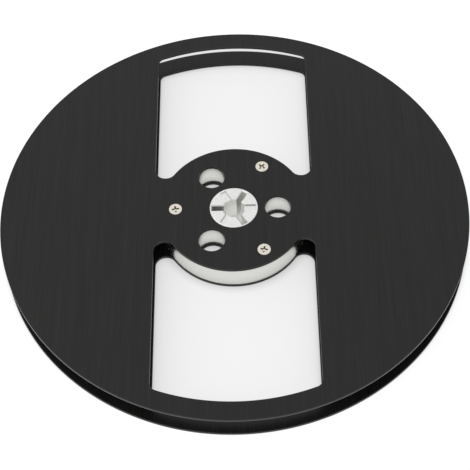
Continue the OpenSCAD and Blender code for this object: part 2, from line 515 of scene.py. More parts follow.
class PlateForm(NodeForm):
    """Raises a plate from its outline and rounds or bevels every rim of it.

    The outline is a mesh of closed loops of edges. Its points carry the direction away from the
    material, and the loop's rounding, bevel, painted bore light and painted shade.
    """

    NAME = "edged_plate"
    NUMBERS = ("Lower Z", "Upper Z")
    ROUND_STEPS = 4

    def draw(self) -> Socket:
        """Walls over the outline, and a face below and above them."""
        s, lower_z, upper_z = self.sketch, self.given["Lower Z"], self.given["Upper Z"]
        away = s.out("GeometryNodeInputNamedAttribute", {"Name": "outward"}, data_type="FLOAT_VECTOR")
        radius = s.number("rounding")
        rim = s.scaled(away, radius)
        inner = s.move(self.given["Geometry"], s.scaled(rim, -1.0))
        raised = self.raise_walls(s.move(inner, s.combine(z=lower_z)), rim, radius)
        # The walls take their loops' painted shade and painted bore light.
        walls = s.mark(raised, hollow=s.number("hollow"), bored=s.number("bored"))
        curve = s.out("GeometryNodeMeshToCurve", {"Mesh": inner})
        sheet = s.out("GeometryNodeFillCurve", {"Curve": curve})
        top = s.move(sheet, s.combine(z=upper_z))
        bottom = s.out("GeometryNodeFlipFaces", {"Mesh": s.move(sheet, s.combine(z=lower_z))})
        # The faces below and above take no painted shade and no painted bore light.
        faces = s.mark(s.join([top, bottom]), hollow=0.0, bored=0.0)
        whole = s.join([walls, faces])
        return s.out("GeometryNodeMergeByDistance", {"Geometry": whole, "Distance": MERGE})

    def raise_walls(self, start: Socket, rim: Socket, radius: Socket) -> Socket:
        """Extrudes the loops up through the lower rounding, the wall and the upper rounding.

        Args:
            start: the inner loops at the lower height.
            rim: vector from the inner loops out to the wall.
            radius: radius of the rounding.

        Returns:
            The walls.
        """
        s = self.sketch
        height = s.minus(self.given["Upper Z"], self.given["Lower Z"])
        straight = s.minus(height, s.times(radius, 2.0))
        bends = quarter(self.ROUND_STEPS)
        opening = [
            (math.sin(b) - math.sin(a), math.cos(a) - math.cos(b)) for a, b in zip(bends, bends[1:])
        ]
        closing = [(-out, rise) for out, rise in reversed(opening)]
        bevel, even = s.number("bevel"), 1.0 / self.ROUND_STEPS
        walls, top = start, None
        for out, rise in [*opening, (0.0, None), *closing]:
            lift = straight
            if rise is not None:
                lift = s.times(radius, s.between(bevel, rise, even))
                out = s.between(bevel, out, math.copysign(even, out))
            grown = s.node("GeometryNodeExtrudeMesh", {"Mesh": walls, "Offset Scale": 0.0}, mode="EDGES")
            if top is not None:
                s.feed(grown.inputs["Selection"], top)
            top = grown.outputs["Top"]
            offset = s.vector("ADD", s.scaled(rim, out), s.combine(z=lift))
            walls = s.move(grown.outputs["Mesh"], offset, top)
        return walls


class SlotForm(NodeForm):
    """Cuts a ring of shallow slots into both faces of a plate."""

    NAME = "slotted_bush"
    NUMBERS = ("Inner Radius", "Outer Radius", "Width", "Depth", "Upper Z")
    OTHERS = {"Count": "NodeSocketInt"}
    END_SHADE = 0.3

    def draw(self) -> Socket:
        """The plate less a ring of boxes at each of its faces."""
        s, given = self.sketch, self.given
        length = s.minus(given["Outer Radius"], given["Inner Radius"])
        middle = s.times(s.plus(given["Outer Radius"], given["Inner Radius"]), 0.5)
        size = s.combine(length, given["Width"], s.times(given["Depth"], 2.0))
        cube = s.out("GeometryNodeMeshCube", {"Size": size})
        # The slot walls take painted shade, and their ends a smaller share of it.
        facing = s.split(s.out("GeometryNodeInputNormal"))
        ends = s.times(s.math("ABSOLUTE", facing[0]), self.END_SHADE)
        box = s.mark(cube, hollow=s.plus(s.math("ABSOLUTE", facing[1]), ends))
        ring = s.out("GeometryNodeMeshCircle", {"Vertices": given["Count"], "Radius": middle})
        place = s.split(s.out("GeometryNodeInputPosition"))
        lower = s.copies(ring, box, s.combine(z=s.math("ARCTAN2", place[1], place[0])))
        upper = s.move(lower, s.combine(z=given["Upper Z"]))
        return s.cut(given["Geometry"], s.join([lower, upper]))


class SeatForm(NodeForm):
    """Cuts a ring of turned holes right through a plate."""

    NAME = "seated_plate"
    NUMBERS = ("Ring Radius", "Phase")
    OTHERS = {"Section": "NodeSocketObject", "Points": "NodeSocketInt", "Count": "NodeSocketInt"}
    SEGMENTS = 64

    def draw(self) -> Socket:
        """The plate less a ring of turned cutters."""
        s, given = self.sketch, self.given
        section = s.out("GeometryNodeObjectInfo", {"Object": given["Section"]}, "Geometry")
        # The seat walls take full painted shade: a dark ring round each screw head.
        hole = s.mark(self.turned(section, given["Points"], self.SEGMENTS), hollow=1.0)
        feeds = {"Vertices": given["Count"], "Radius": given["Ring Radius"]}
        ring, turn = s.out("GeometryNodeMeshCircle", feeds), s.combine(z=given["Phase"])
        centres = s.out("GeometryNodeTransform", {"Geometry": ring, "Rotation": turn})
        return s.cut(given["Geometry"], s.copies(centres, hole))


class ScrewForm(NodeForm):
    """Turns a screw from its half section, cuts its cross recess and winds its thread on.

    The screw is made standing on its tip, with its face at height 0.
    """

    NAME = "cross_screw"
    NUMBERS = (
        "Recess Width", "Wing Thickness", "Recess Depth", "Recess Turn",
        "Thread Top", "Thread Length", "Thread Radius", "Pitch",
    )
    OTHERS = {"Place": "NodeSocketVector", "Tilt": "NodeSocketVector", "Points": "NodeSocketInt"}
    SEGMENTS = 64
    # How fast painted shade grows with steepness, on the head and in the recess wings.
    HEAD_GAIN = 2.0
    WING_GAIN = 5.0
    FUNNEL_SEGMENTS = 32
    FUNNEL_DEPTH = 1.05
    PIT_SHARE = 0.7
    MOUTH_SHARE = 1.8
    TURN_STEPS = 24
    RIDGE_SIDES = 3
    RIDGE_SHARE = 0.35

    def draw(self) -> Socket:
        """The turned blank less its recess, with its thread, at its place."""
        s, given = self.sketch, self.given
        shell = self.turned(given["Geometry"], given["Points"], self.SEGMENTS)
        # Steep faces of the head, such as its rounded rim, take painted shade.
        head = s.cut(s.mark(shell, hollow=s.steepness(self.HEAD_GAIN)), self.recess())
        whole = s.cut(head, s.mark(self.thread(), hollow=0.0), "UNION")
        feeds = {"Geometry": whole, "Translation": given["Place"], "Rotation": given["Tilt"]}
        return s.out("GeometryNodeTransform", feeds)

    def cone(self, segments: int, bottom: Socket, top: Socket, depth: float) -> Socket:
        """A cone that narrows downward, with its middle in the screw's face.

        Args:
            segments: number of steps round it.
            bottom: radius of its lower end.
            top: radius of its upper end.
            depth: how far it goes down from the face, in depths of the recess.

        Returns:
            The closed cone.
        """
        s, recess = self.sketch, self.given["Recess Depth"]
        feeds = {"Vertices": segments, "Radius Bottom": bottom, "Radius Top": top}
        cone = s.out("GeometryNodeMeshCone", {**feeds, "Depth": s.times(recess, 2.0 * depth)})
        return s.move(cone, s.combine(z=s.times(recess, -depth)))

    def recess(self) -> Socket:
        """The cutter of the recess: crossed wings that a cone draws in, and a funnel in their middle."""
        s, width, wing = self.sketch, self.given["Recess Width"], self.given["Wing Thickness"]
        size = s.combine(s.times(width, 2.0), wing, s.times(self.given["Recess Depth"], 2.0))
        bar = s.out("GeometryNodeMeshCube", {"Size": size})
        pair = s.out("GeometryNodeMeshLine", {"Count": 2, "Offset": (0.0, 0.0, 0.0)})
        right_angle = s.times(s.out("GeometryNodeInputIndex"), math.pi / 2)
        cross = s.copies(pair, bar, s.combine(z=s.plus(right_angle, self.given["Recess Turn"])))
        tip_r = s.times(wing, 0.5)
        lowered = self.cone(self.SEGMENTS, tip_r, s.minus(width, tip_r), 1.0)
        # Steep faces of the recess wings take painted shade.
        wings = s.mark(s.cut(cross, lowered, "INTERSECT"), hollow=s.steepness(self.WING_GAIN))
        pit_r, mouth_r = s.times(wing, self.PIT_SHARE), s.times(wing, self.MOUTH_SHARE)
        funnel = self.cone(self.FUNNEL_SEGMENTS, pit_r, mouth_r, self.FUNNEL_DEPTH)
        # The funnel in the middle takes no painted shade.
        return s.cut(wings, s.mark(funnel, hollow=0.0), "UNION")

    def thread(self) -> Socket:
        """The thread, a three-sided ridge along a spiral."""
        s, length, pitch = self.sketch, self.given["Thread Length"], self.given["Pitch"]
        ridge_r = s.times(pitch, self.RIDGE_SHARE)
        radius = s.minus(self.given["Thread Radius"], ridge_r)
        feeds = {"Resolution": self.TURN_STEPS, "Rotations": s.over(length, pitch), "Height": length}
        spiral = s.out("GeometryNodeCurveSpiral", {**feeds, "Start Radius": radius, "End Radius": radius})
        feeds = {"Resolution": self.RIDGE_SIDES, "Radius": ridge_r}
        ridge = s.out("GeometryNodeCurvePrimitiveCircle", feeds, mode="RADIUS")
        feeds = {"Curve": spiral, "Profile Curve": ridge, "Fill Caps": True}
        wound = s.out("GeometryNodeCurveToMesh", feeds)
        return s.move(wound, s.combine(z=s.minus(self.given["Thread Top"], length)))


@dataclass
class Forms:
    """The Geometry Nodes trees, built once."""

    plate: PlateForm = field(default_factory=PlateForm)
    slots: SlotForm = field(default_factory=SlotForm)
    seats: SeatForm = field(default_factory=SeatForm)
    screw: ScrewForm = field(default_factory=ScrewForm)


class ShaderEffect:
    """A shader node group that several finishes use, each with its own values.

    Each effect states the name of its group, its inputs with their usual values, its output, and
    how it draws its pattern.
    """

    NAME = ""
    INPUTS: dict[str, float] = {}
    OUTPUT = "Grain"
    ROUGHNESS = 0.6
    FINE, BROAD = 3.0, 2.0

    def __init__(self) -> None:
        """Makes the group and its sockets."""
        self.tree = bpy.data.node_groups.new(self.NAME, "ShaderNodeTree")
        for label, value in self.INPUTS.items():
            socket = self.tree.interface.new_socket(label, in_out="INPUT", socket_type="NodeSocketFloat")
            socket.default_value = value
        self.tree.interface.new_socket(self.OUTPUT, in_out="OUTPUT", socket_type="NodeSocketFloat")
        self.sketch = Sketch(self.tree)
        self.given = self.sketch.node("NodeGroupInput").outputs
        self.sketch.node("NodeGroupOutput", {0: self.draw()})

    def draw(self) -> Socket:
        """The pattern, which each effect draws its own way."""
        raise NotImplementedError

    def coordinates(self) -> Socket:
        """Object coordinates in millimetres."""
        return self.sketch.scaled(self.sketch.out("ShaderNodeTexCoord", output="Object"), 1.0 / MM)

    def levelness(self) -> Socket:
        """How level a face lies, from 0 on an upright wall to 1."""
        normal = self.sketch.out("ShaderNodeTexCoord", output="Normal")
        return self.sketch.math("ABSOLUTE", self.sketch.split(normal)[2])

    def noise(self, vector: Socket, detail: float) -> Socket:
        """Noise of unit size along a vector."""
        feeds = {"Vector": vector, "Scale": 1.0, "Detail": detail, "Roughness": self.ROUGHNESS}
        return self.sketch.out("ShaderNodeTexNoise", feeds, "Fac")

    def grains(self, size: Socket, detail: float) -> Socket:
        """Noise that has the same size every way, in millimetres."""
        return self.noise(self.sketch.scaled(self.coordinates(), self.sketch.over(1.0, size)), detail)

    def place(self, sketch: Sketch, **values: float) -> Socket:
        """Puts the group in a material.

        Args:
            sketch: the material's sketch.
            **values: values for the group's inputs, with underscores for spaces.

        Returns:
            The group's output.
        """
        node = sketch.node("ShaderNodeGroup")
        node.node_tree = self.tree
        for name, value in values.items():
            node.inputs[name.replace("_", " ")].default_value = value
        return node.outputs[0]


class StraightGrain(ShaderEffect):
    """Fine lines along Y, as a belt leaves them on sheet."""

    NAME = "straight_grain"
    INPUTS = {"Line Width": 0.2, "Line Length": 20.0}
    WIDER, LONGER = 6.0, 2.0
    FINE_SHARE, BROAD_SHARE = 0.7, 0.3

    def draw(self) -> Socket:
        """Two layers of stretched noise, which follow the edge on upright walls."""
        s, width, length = self.sketch, self.given["Line Width"], self.given["Line Length"]
        place = s.split(self.coordinates())
        place = s.combine(s.between(self.levelness(), place[2], place[0]), place[1], place[2])
        fine = self.noise(s.vector("DIVIDE", place, s.combine(width, length, width)), self.FINE)
        wide = s.times(width, self.WIDER)
        slow = s.combine(wide, s.times(length, self.LONGER), wide)
        broad = self.noise(s.vector("DIVIDE", place, slow), self.BROAD)
        return s.plus(s.times(fine, self.FINE_SHARE), s.times(broad, self.BROAD_SHARE))


class TurnedGrain(ShaderEffect):
    """Fine rings round the Z axis, as a turning tool leaves them."""

    NAME = "turned_grain"
    INPUTS = {"Pitch": 0.15}
    DRIFT = 0.06

    def draw(self) -> Socket:
        """Noise that changes fast along the radius and the height, and slowly round the axis."""
        s, pitch = self.sketch, self.given["Pitch"]
        x, y, z = s.split(self.coordinates())
        squares = s.plus(s.math("POWER", x, 2.0), s.math("POWER", y, 2.0))
        radius = s.over(s.math("SQRT", squares), pitch)
        along = s.times(s.minus(x, y), self.DRIFT)
        return self.noise(s.combine(radius, s.over(z, pitch), along), self.FINE)


class BlastedGrain(ShaderEffect):
    """Even fine grain, as blasting leaves it."""

    NAME = "blasted_grain"
    INPUTS = {"Grain Size": 0.15}

    def draw(self) -> Socket:
        """Fine noise."""
        return self.grains(self.given["Grain Size"], self.FINE)


class RimWearAndLight(ShaderEffect):
    """Mask of the rounded rims, where wear and painted light fall, broken up along their length."""

    NAME = "rim_wear_light_mask"
    INPUTS = {"Patch Size": 4.0}
    OUTPUT = "Wear And Light"
    OFF_WALL = (0.3, 0.55)
    OFF_FACE = (0.85, 0.98)
    PATCHES = (0.35, 0.65)
    LEAST = 0.45

    def draw(self) -> Socket:
        """Faces that lean between flat and upright, times patches."""
        s, level = self.sketch, self.levelness()
        leaning = s.times(s.remap(level, *self.OFF_WALL), s.remap(level, *self.OFF_FACE, 1.0, 0.0))
        patches = self.grains(self.given["Patch Size"], self.BROAD)
        return s.times(leaning, s.remap(patches, *self.PATCHES, self.LEAST))


@dataclass
class Effects:
    """The shader groups, built once."""

    straight: StraightGrain = field(default_factory=StraightGrain)
    turned: TurnedGrain = field(default_factory=TurnedGrain)
    blasted: BlastedGrain = field(default_factory=BlastedGrain)
    worn_lit_rims: RimWearAndLight = field(default_factory=RimWearAndLight)


@dataclass(frozen=True)
class Coat:
    """A finish that is ready for use: its material, and its slot in the record."""

    material: bpy.types.Material
    slot: str


@dataclass(frozen=True)
class Finish:
    """A surface finish.

    It has two colours that its grain mixes, a colour for rounded rims that stands for wear together
    with painted light there, a colour of painted shade for recesses and narrow places, a colour of
    painted light for bore walls, and how it shines.
    """

    name: str
    slot: str
    dark: Color
    light: Color
    # Colour of rounded rims: wear together with painted light there.
    rim_wear_and_light: Color
    # Colour of painted shade in recesses, slots and narrow places.
    shaded: Color
    # Colour of bore walls, painted lighter as painted light.
    bored: Color
    metallic: float = 1.0
    specular: float = 0.5
    roughness: Range = (0.2, 0.32)
    bump_mm: float = 0.004

    COLOR_SPAN = (0.3, 0.7)
    ROUGHNESS_SPAN = (0.25, 0.75)

    def grain(self, sketch: Sketch, effects: Effects) -> Socket:
        """The grain of this finish, which each finish picks."""
        raise NotImplementedError

    def build(self, effects: Effects) -> Coat:
        """Makes the material.

        Args:
            effects: the shared shader groups.

        Returns:
            The finish, ready for use.
        """
        material = bpy.data.materials.new(self.name)
        material.use_nodes = True
        s = Sketch(material.node_tree)
        grain = self.grain(s, effects)
        body = s.blend(s.remap(grain, *self.COLOR_SPAN), self.dark, self.light)
        # Bore walls take the lighter colour of painted light.
        bored = s.out("ShaderNodeAttribute", output="Fac", attribute_name="bored")
        # Rounded rims take the colour of wear and painted light.
        rubbed_and_lit = s.blend(effects.worn_lit_rims.place(s), s.blend(bored, body, self.bored), self.rim_wear_and_light)
        # Painted shade goes over everything else, as much as each face carries.
        hollow = s.out("ShaderNodeAttribute", output="Fac", attribute_name="hollow")
        color = s.blend(hollow, rubbed_and_lit, self.shaded)
        feeds = {"Height": grain, "Strength": 1.0, "Distance": self.bump_mm * MM}
        bump = s.out("ShaderNodeBump", feeds)
        shader = s.node("ShaderNodeBsdfPrincipled", {"Base Color": color, "Normal": bump})
        s.feed(shader.inputs["Roughness"], s.remap(grain, *self.ROUGHNESS_SPAN, *self.roughness))
        shader.inputs["Metallic"].default_value = self.metallic
        shader.inputs["Specular IOR Level"].default_value = self.specular
        s.node("ShaderNodeOutputMaterial", {"Surface": shader.outputs[0]})
        return Coat(material, self.slot)


@dataclass(frozen=True)
class BlackAnodised(Finish):
    """Black anodising over a straight grain."""

    name: str = "black_anodised"
    slot: str = "flange_black"
    dark: Color = (0.0042, 0.0044, 0.004, 1.0)
    light: Color = (0.0124, 0.0129, 0.012, 1.0)
    # Rims: a light line, a painted highlight over a little wear.
    rim_wear_and_light: Color = (0.05, 0.05, 0.05, 1.0)
    shaded: Color = (0.002, 0.002, 0.002, 1.0)
    bored: Color = (0.008, 0.008, 0.0082, 1.0)
    metallic: float = 0.0
    specular: float = 0.25
    roughness: Range = (0.2, 0.3)

    def grain(self, sketch: Sketch, effects: Effects) -> Socket:
        """Straight lines along the windows."""
        return effects.straight.place(sketch, Line_Width=0.3, Line_Length=30.0)


@dataclass(frozen=True)
class TurnedAluminium(Finish):
    """Bare aluminium with the fine rings of turning."""

    name: str = "turned_aluminium"
    slot: str = "hub_turned"
    dark: Color = (0.72, 0.72, 0.69, 1.0)
    light: Color = (0.845, 0.845, 0.815, 1.0)
    # Rims: a bright line, a painted highlight over a little wear.
    rim_wear_and_light: Color = (0.9, 0.9, 0.88, 1.0)
    shaded: Color = (0.5, 0.5, 0.48, 1.0)
    # Round holes of the hub: painted lighter, as painted light.
    bored: Color = (0.89, 0.89, 0.86, 1.0)

    def grain(self, sketch: Sketch, effects: Effects) -> Socket:
        """Rings round the axis."""
        return effects.turned.place(sketch, Pitch=0.18)


@dataclass(frozen=True)
class BlastedAluminium(Finish):
    """Pale matt aluminium with an even grain."""

    name: str = "blasted_aluminium"
    slot: str = "bush_matt"
    dark: Color = (0.56, 0.56, 0.55, 1.0)
    light: Color = (0.92, 0.92, 0.91, 1.0)
    # Rims and bevels: a darker grey, wear with painted shade.
    rim_wear_and_light: Color = (0.55, 0.55, 0.54, 1.0)
    shaded: Color = (0.25, 0.25, 0.24, 1.0)
    # Bore of the bush: painted lighter, as painted light.
    bored: Color = (0.94, 0.94, 0.90, 1.0)
    roughness: Range = (0.3, 0.45)
    bump_mm: float = 0.012

    def grain(self, sketch: Sketch, effects: Effects) -> Socket:
        """Blasted grain."""
        return effects.blasted.place(sketch, Grain_Size=0.45)


@dataclass(frozen=True)
class PlatedSteel(Finish):
    """Warm bright plating on the screws."""

    name: str = "plated_steel"
    slot: str = "screw_steel"
    dark: Color = (0.56, 0.525, 0.455, 1.0)
    light: Color = (0.87, 0.825, 0.735, 1.0)
    rim_wear_and_light: Color = (0.8, 0.77, 0.71, 1.0)
    shaded: Color = (0.05, 0.044, 0.036, 1.0)
    bored: Color = (0.7, 0.66, 0.6, 1.0)
    roughness: Range = (0.2, 0.34)

    def grain(self, sketch: Sketch, effects: Effects) -> Socket:
        """Fine scuffs."""
        return effects.blasted.place(sketch, Grain_Size=0.25)


@dataclass
class Assembly:
    """A sub-assembly of the reel, whose pieces share one finish."""

    sizes: ReelSizes

    def shapes(self, forms: Forms, coat: Coat) -> dict[str, bpy.types.Object]:
        """The finished pieces, by the CAD node that each stands for."""
        raise NotImplementedError

    def build(self, forms: Forms, coat: Coat) -> None:
        """Makes the pieces. Each stands for its CAD node and rides on the reel.

        Args:
            forms: the trees.
            coat: the finish.
        """
        for node, piece in self.shapes(forms, coat).items():
            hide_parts(node)
            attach(piece, BODY)
            log.info("%s: %d faces, for %s", piece.name, len(piece.data.polygons), node)


@dataclass
class ScrewSeats:
    """The holes for the screws, each one hole through flanges and hub that two screws share."""

    sizes: ReelSizes
    face_round: float = 0.12
    round_steps: int = 3
    reach: float = 0.5

    def half_section(self) -> list[Point]:
        """Outline of a hole.

        Returns:
            Radius and height of each point, from its lower end to its upper one.
        """
        z = self.sizes
        seat_r, hole_r = z.head_r + z.screw_clearance, z.shank_r + z.screw_clearance
        cone_z = z.head_sink + z.head_land
        rim = [(1.0 - math.sin(b), 1.0 - math.cos(b)) for b in quarter(self.round_steps)]
        rim = [(seat_r + self.face_round * out, self.face_round * rise) for out, rise in rim]
        lower = [(0.0, -self.reach), (rim[0][0], -self.reach), *rim]
        lower += [(seat_r, cone_z), (hole_r, cone_z + seat_r - hole_r)]
        upper = [(radius, z.reel_t - height) for radius, height in lower]
        return [*lower, *reversed(upper)]

    def cut(
        self, blank: bpy.types.Object, name: str, form: SeatForm, coat: Coat, sharp: float
    ) -> bpy.types.Object:
        """Cuts the holes into a piece.

        Args:
            blank: the piece without them, which is removed.
            name: name of the finished piece.
            form: the tree that cuts them.
            coat: its finish.
            sharp: angle above which an edge stays sharp, in degrees.

        Returns:
            The finished piece.
        """
        z, points = self.sizes, self.half_section()
        section = add_object("seat_section", profile_mesh("seat_section", points))
        values = {
            "Section": section,
            "Points": len(points),
            "Count": z.spokes,
            "Ring Radius": z.screw_ring_r * MM,
            "Phase": math.radians(z.key_phase),
            "Material": coat.material,
        }
        piece = form.make(name, blank.data, values, sharp)
        bpy.data.objects.remove(section)
        bpy.data.objects.remove(blank)
        return piece


@dataclass
class Flange(Assembly):
    """One flange: a thin disc with two windows and the holes of the hub."""

    side: Side
    hole_round: float = 0.12
    sharp: float = 40.0
    outside_steps: int = 540
    seat_steps: int = 160
    hole_steps: int = 96
    rim_steps: int = 72
    web_steps: int = 120
    rim_corner_steps: int = 20
    hub_corner_steps: int = 28

    def window(self, turned_over: bool) -> Loop:
        """The edge of one window.

        Args:
            turned_over: whether it is the window on the +Y side.

        Returns:
            The loop, for the -Y side or mirrored from it.
        """
        z = self.sizes
        half, web_r, rim_r = z.window_w / 2.0, z.hub_r + z.flange_lap, z.flange_r - z.rim_w
        hub_x, rim_x = half - z.hub_corner_r, half - z.rim_corner_r
        hub_y = -math.sqrt((web_r + z.hub_corner_r) ** 2 - hub_x**2)
        rim_y = -math.sqrt((rim_r - z.rim_corner_r) ** 2 - rim_x**2)
        hub_angle = math.degrees(math.atan2(hub_y, hub_x))
        rim_angle = math.degrees(math.atan2(rim_y, rim_x))
        points = arc((hub_x, hub_y), z.hub_corner_r, hub_angle + 180.0, 0.0, self.hub_corner_steps)
        points += [(half, hub_y)]
        points += arc((rim_x, rim_y), z.rim_corner_r, 0.0, rim_angle, self.rim_corner_steps)
        points += arc((0.0, 0.0), rim_r, rim_angle, -180.0 - rim_angle, self.rim_steps)
        points += arc((-rim_x, rim_y), z.rim_corner_r, -180.0 - rim_angle, -180.0, self.rim_corner_steps)
        points += [(-half, rim_y)]
        points += arc((-hub_x, hub_y), z.hub_corner_r, 180.0, -hub_angle, self.hub_corner_steps)
        points += arc((0.0, 0.0), web_r, -180.0 - hub_angle, hub_angle, self.web_steps)
        if turned_over:
            points = [(x, -y) for x, y in reversed(points)]
        return Loop(points, z.edge_break)

    def loops(self) -> list[Loop]:
        """All the edges of the flange.

        Returns:
            The outside, the windows, the bush's seat and the round holes.
        """
        z = self.sizes
        outside = Loop(circle(z.flange_r, Turn.OUTSIDE, self.outside_steps), z.edge_break)
        bush_seat = Loop(circle(z.bush_seat_r, Turn.HOLE, self.seat_steps), self.hole_round)
        # The wall of the bush's seat takes full painted shade: a dark ring round the bush.
        bush_seat.hollow = [1.0] * self.seat_steps
        centres = [polar(z.hole_ring_r, angle) for angle in z.angles(z.hole_phase)]
        holes = [circle(z.hub_hole_r, Turn.HOLE, self.hole_steps, centre) for centre in centres]
        windows = [self.window(False), self.window(True)]
        return [outside, *windows, bush_seat, *(Loop(points, self.hole_round) for points in holes)]

    def shapes(self, forms: Forms, coat: Coat) -> dict[str, bpy.types.Object]:
        """The flange."""
        z = self.sizes
        node = f"{self.side.value}_flange"
        low = 0.0 if self.side is Side.LOWER else z.reel_t - z.flange_t
        values = {"Lower Z": low * MM, "Upper Z": (low + z.flange_t) * MM, "Material": coat.material}
        blank = forms.plate.make(f"{node}_blank", outline_mesh(node, self.loops()), values, self.sharp)
        return {node: ScrewSeats(z).cut(blank, f"{node}_sheet", forms.seats, coat, self.sharp)}


@dataclass
class Hub(Assembly):
    """The turned barrel between the flanges."""

    edge_round: float = 0.06
    # Painted shade on the sides of the round holes: its greatest amount, and where it starts.
    side_shade: float = 0.7
    side_start: float = 0.7
    sharp: float = 40.0
    outside_steps: int = 360
    seat_steps: int = 128
    hole_steps: int = 96

    def loops(self) -> list[Loop]:
        """All the edges of the barrel.

        Returns:
            The outside, the bush's seat and the round holes, whose walls take painted shade towards
            their sides.
        """
        z = self.sizes
        outside = circle(z.hub_r, Turn.OUTSIDE, self.outside_steps)
        bush_seat = circle(z.bush_seat_r, Turn.HOLE, self.seat_steps)
        result = [Loop(outside, self.edge_round), Loop(bush_seat, self.edge_round)]
        hole_r, side = z.hub_hole_r + z.hub_hole_play, 1.0 - self.side_start
        for angle in z.angles(z.hole_phase):
            points = circle(hole_r, Turn.HOLE, self.hole_steps, polar(z.hole_ring_r, angle))
            # The hole walls are painted lighter, as painted light on a bore wall.
            hole = Loop(points, self.edge_round, bored=1.0)
            # Painted shade that grows towards the sides of each hole.
            past = [max(0.0, abs(out[0]) - self.side_start) / side for out in hole.outward()]
            hole.hollow = [self.side_shade * share for share in past]
            result.append(hole)
        return result

    def shapes(self, forms: Forms, coat: Coat) -> dict[str, bpy.types.Object]:
        """The barrel."""
        z = self.sizes
        low, high = z.flange_t, z.flange_t + z.hub_len
        values = {"Lower Z": low * MM, "Upper Z": high * MM, "Material": coat.material}
        blank = forms.plate.make("hub_blank", outline_mesh("hub", self.loops()), values, self.sharp)
        piece = ScrewSeats(z).cut(blank, "hub_barrel_turned", forms.seats, coat, self.sharp)
        return {"hub_barrel": piece}


@dataclass
class Bush(Assembly):
    """The keyed bush that drops over the spindle."""

    bore_r: float = 4.0
    key_w: float = 2.0
    key_wall: float = 0.9
    slot_w: float = 2.5
    slot_depth: float = 0.5
    slot_wall: float = 0.8
    slot_start_r: float = 2.0
    bevel: float = 0.2
    bore_bevel: float = 0.4
    # Painted shade in each keyway, a different amount in each.
    key_shade: tuple[float, ...] = (0.15, 0.42, 0.3)
    sharp: float = 35.0
    outside_steps: int = 192
    bore_steps: int = 32

    def keyed_bore(self) -> Loop:
        """The edge of the bore and of its keyways.

        Returns:
            The loop, which takes painted light on all its walls, and painted shade in its keyways,
            a different amount in each.
        """
        z = self.sizes
        half, end_r = self.key_w / 2.0, z.bush_r - self.key_wall
        mouth = math.degrees(math.asin(half / self.bore_r))
        reach, lean = math.hypot(end_r, half), math.degrees(math.atan2(half, end_r))
        step = 360.0 / z.spokes
        points, hollow = [], []
        for angle, shade_share in reversed(list(zip(z.angles(z.key_phase), self.key_shade))):
            key = [polar(self.bore_r, angle + mouth), polar(reach, angle + lean), polar(reach, angle - lean)]
            between = arc((0.0, 0.0), self.bore_r, angle - mouth, angle - step + mouth, self.bore_steps)
            points += key + between
            hollow += [shade_share] * (len(key) + 1) + [0.0] * (len(between) - 1)
        # The whole loop is painted lighter as painted light; the keyways take painted shade over that.
        return Loop(points, self.bore_bevel, bevel=1.0, bored=1.0, hollow=hollow)

    def shapes(self, forms: Forms, coat: Coat) -> dict[str, bpy.types.Object]:
        """The bush."""
        z = self.sizes
        outside = Loop(circle(z.bush_r, Turn.OUTSIDE, self.outside_steps), self.bevel)
        outline = outline_mesh("bush", [outside, self.keyed_bore()])
        values = {"Lower Z": 0.0, "Upper Z": z.reel_t * MM, "Material": coat.material}
        blank = forms.plate.make("bush_blank", outline, values, self.sharp)
        cuts = {
            "Inner Radius": self.slot_start_r * MM,
            "Outer Radius": (z.bush_r - self.slot_wall) * MM,
            "Width": self.slot_w * MM,
            "Depth": self.slot_depth * MM,
            "Upper Z": z.reel_t * MM,
            "Count": z.spokes,
            "Material": coat.material,
        }
        piece = forms.slots.make("spindle_bush_keyed", blank.data, cuts, self.sharp)
        bpy.data.objects.remove(blank)
        return {"spindle_bush": piece}


